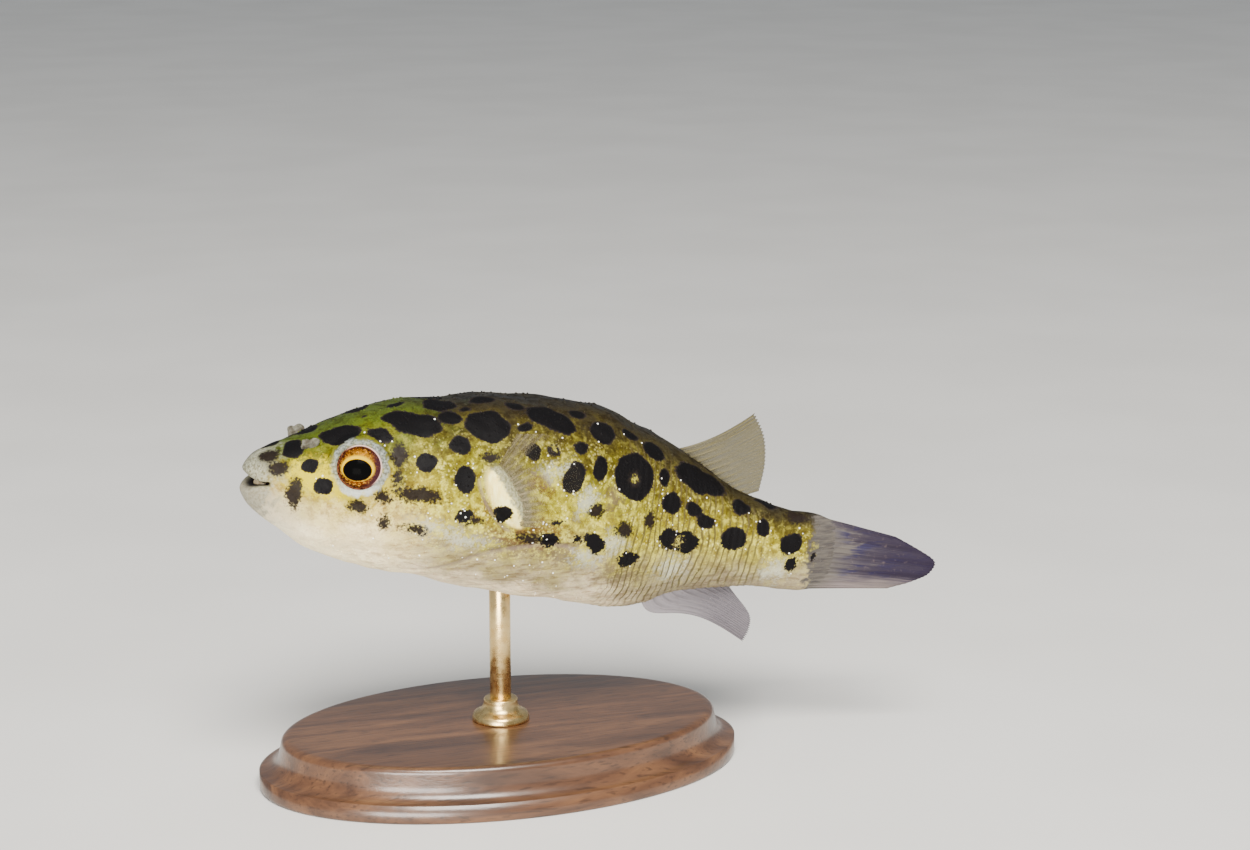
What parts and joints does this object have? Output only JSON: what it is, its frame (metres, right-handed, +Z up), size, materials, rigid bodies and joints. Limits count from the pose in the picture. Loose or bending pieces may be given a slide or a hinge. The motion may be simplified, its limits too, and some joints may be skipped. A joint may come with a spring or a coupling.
{
  "type": "spotted freshwater pufferfish display model",
  "caption": "Life-size still model of a spotted freshwater pufferfish, swimming head-up with its tail bent aside, held by a rod on a small oval wooden plinth.",
  "frame": {"origin": "centre of the flat underside of the display plinth", "axes": "+Z up; the fish faces -X, so its left side faces -Y, and +X runs towards its tail"},
  "size_m": [0.0823, 0.036, 0.0455],
  "materials": {
    "skin": "moist fish skin, olive-yellow with large black spots and pale papillae",
    "belly_skin": "moist, white to pinkish-grey, finely granular",
    "lip_skin": "moist, smooth, bluish-grey white",
    "fin_lobe_skin": "moist, ivory",
    "clear_fin": "thin, rayed, grey-beige and translucent",
    "tail_fin": "thin, rayed, purple-grey, darkest at the tip",
    "eye": "clear wet cornea over an orange-brown iris and black pupil",
    "beak": "smooth, cream, like tooth enamel",
    "walnut": "dark stained, satin lacquer",
    "brass": "satin"
  },
  "bodies": {
    "root": {"upper_lip": "lip_skin", "lower_lip": "lip_skin", "head": "skin", "trunk": "skin", "belly": "belly_skin", "tail_stalk": "skin", "pectoral_base_left": "fin_lobe_skin", "pectoral_base_right": "fin_lobe_skin", "nostril_left": "lip_skin", "nostril_right": "lip_skin", "dorsal_fin": "clear_fin", "anal_fin": "clear_fin", "pectoral_fin_left": "clear_fin", "pectoral_fin_right": "clear_fin", "tail_fin": "tail_fin", "eye_left": "eye", "eye_right": "eye", "beak_upper": "beak", "beak_lower": "beak", "stand_plinth": "walnut", "stand_collar": "brass", "stand_rod": "brass"}
  },
  "joints": []
}
